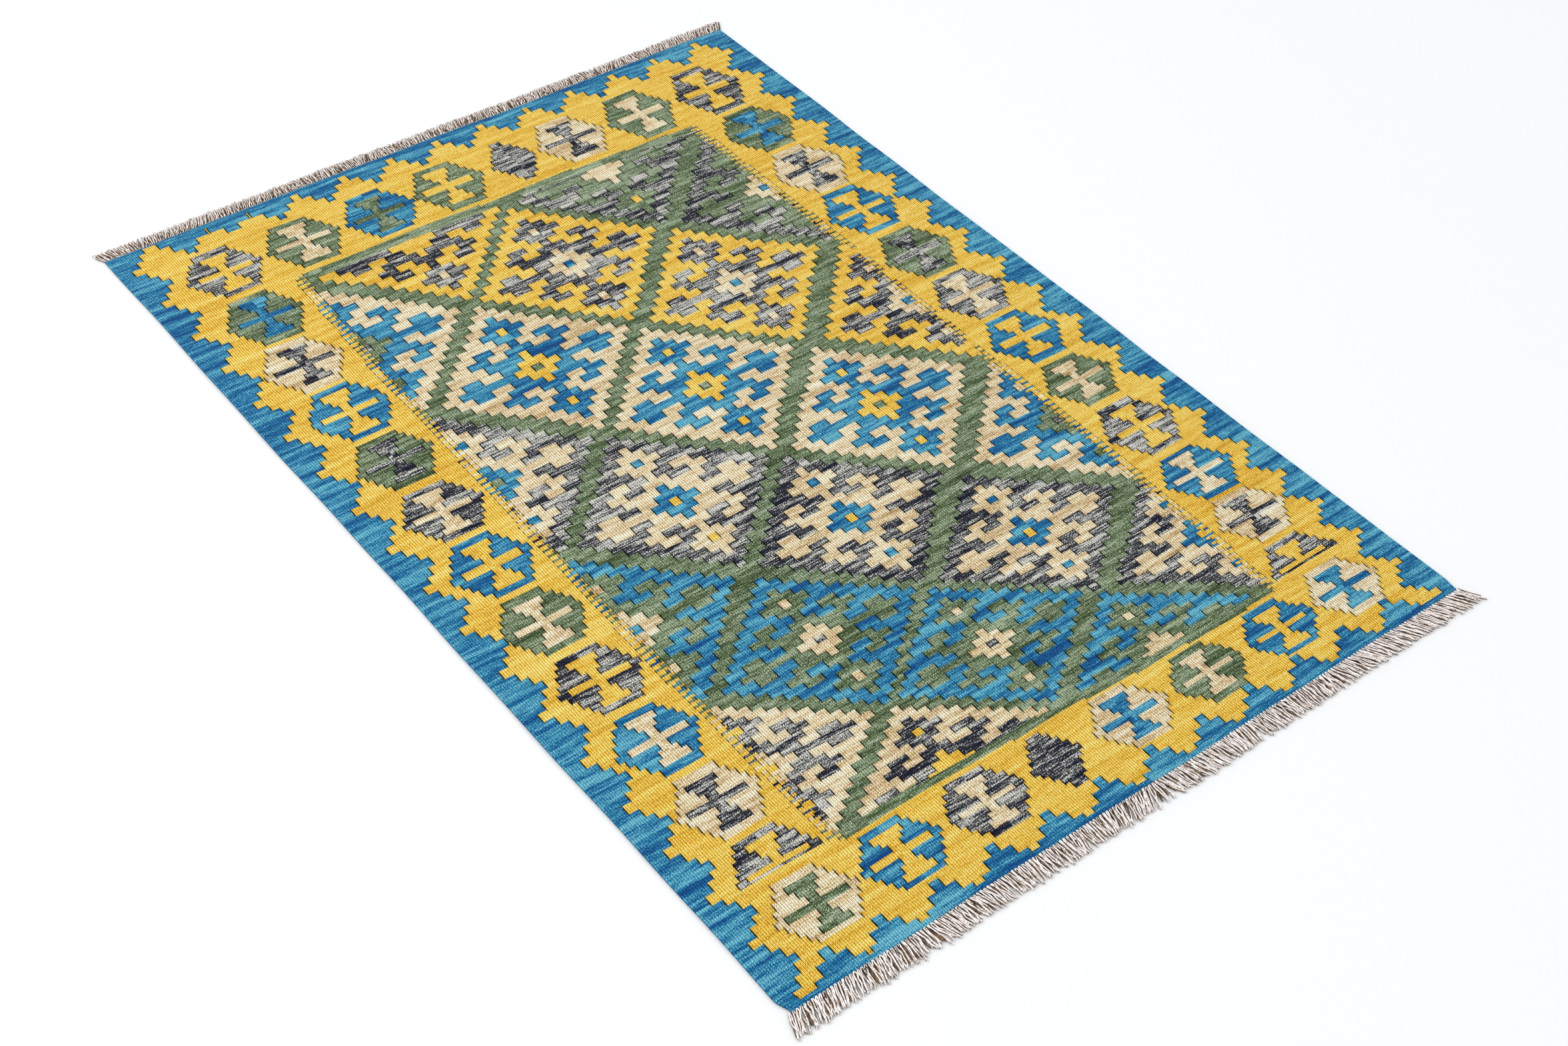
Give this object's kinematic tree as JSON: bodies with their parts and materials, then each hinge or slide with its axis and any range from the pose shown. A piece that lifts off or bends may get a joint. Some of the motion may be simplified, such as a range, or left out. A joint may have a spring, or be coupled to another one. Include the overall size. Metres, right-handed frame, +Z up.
{
  "type": "kilim rug",
  "caption": "Flat-woven wool kilim rug with a stepped diamond lattice field, hexagon medallion border, stepped outer guard and looped fringe ends; folds in at both ends and then in half.",
  "frame": {"origin": "middle of the underside of the rug's box, fringes included", "axes": "+Z up out of the front face, +Y along the warps from the near end to the far end, +X across the rug from its left long edge to its right one"},
  "size_m": [1.0398, 1.5516, 0.0035],
  "materials": {
    "gold_weave": "ribbed flat-woven wool, golden yellow",
    "blue_weave": "ribbed flat-woven wool, blue with lighter and darker streaks along the weft",
    "field_weave": "ribbed flat-woven wool in sage green, gold, blue, cream and marled grey",
    "selvedge_cord": "wool wefts turned round the last warps",
    "fringe_yarn": "plied undyed wool and cotton warp ends"
  },
  "bodies": {
    "near_end": {"selvedge_left_near_end": "selvedge_cord", "blue_guard_left_near_end": "blue_weave", "gold_border_left_near_end": "gold_weave", "selvedge_right_near_end": "selvedge_cord", "blue_guard_right_near_end": "blue_weave", "gold_border_right_near_end": "gold_weave", "field_near_end": "field_weave", "blue_guard_near": "blue_weave", "gold_border_near": "gold_weave", "fringe_near": "fringe_yarn"},
    "near_middle": {"selvedge_left_near_middle": "selvedge_cord", "blue_guard_left_near_middle": "blue_weave", "gold_border_left_near_middle": "gold_weave", "selvedge_right_near_middle": "selvedge_cord", "blue_guard_right_near_middle": "blue_weave", "gold_border_right_near_middle": "gold_weave", "field_near_middle": "field_weave"},
    "middle_fold": {"selvedge_left_middle_fold": "selvedge_cord", "blue_guard_left_middle_fold": "blue_weave", "gold_border_left_middle_fold": "gold_weave", "selvedge_right_middle_fold": "selvedge_cord", "blue_guard_right_middle_fold": "blue_weave", "gold_border_right_middle_fold": "gold_weave", "field_middle_fold": "field_weave"},
    "far_middle": {"selvedge_left_far_middle": "selvedge_cord", "blue_guard_left_far_middle": "blue_weave", "gold_border_left_far_middle": "gold_weave", "selvedge_right_far_middle": "selvedge_cord", "blue_guard_right_far_middle": "blue_weave", "gold_border_right_far_middle": "gold_weave", "field_far_middle": "field_weave"},
    "far_end": {"selvedge_left_far_end": "selvedge_cord", "blue_guard_left_far_end": "blue_weave", "gold_border_left_far_end": "gold_weave", "selvedge_right_far_end": "selvedge_cord", "blue_guard_right_far_end": "blue_weave", "gold_border_right_far_end": "gold_weave", "field_far_end": "field_weave", "blue_guard_far": "blue_weave", "gold_border_far": "gold_weave", "fringe_far": "fringe_yarn"}
  },
  "joints": [
    {"name": "near_fold", "type": "hinge", "parent": "near_middle", "child": "near_end", "pos_m": [0, -0.3985, 0.005], "axis": [-1, 0, 0], "range_deg": [0, 179.8]},
    {"name": "half_fold_near_side", "type": "hinge", "parent": "near_middle", "child": "middle_fold", "pos_m": [0, -0.0055, 0.0035], "axis": [1, 0, 0], "range_deg": [0, 90]},
    {"name": "half_fold_far_side", "type": "hinge", "parent": "middle_fold", "child": "far_middle", "pos_m": [0, 0.0125, 0.0035], "axis": [1, 0, 0], "range_deg": [0, 90]},
    {"name": "far_fold", "type": "hinge", "parent": "far_middle", "child": "far_end", "pos_m": [0, 0.4055, 0.005], "axis": [1, 0, 0], "range_deg": [0, 179.8]}
  ]
}
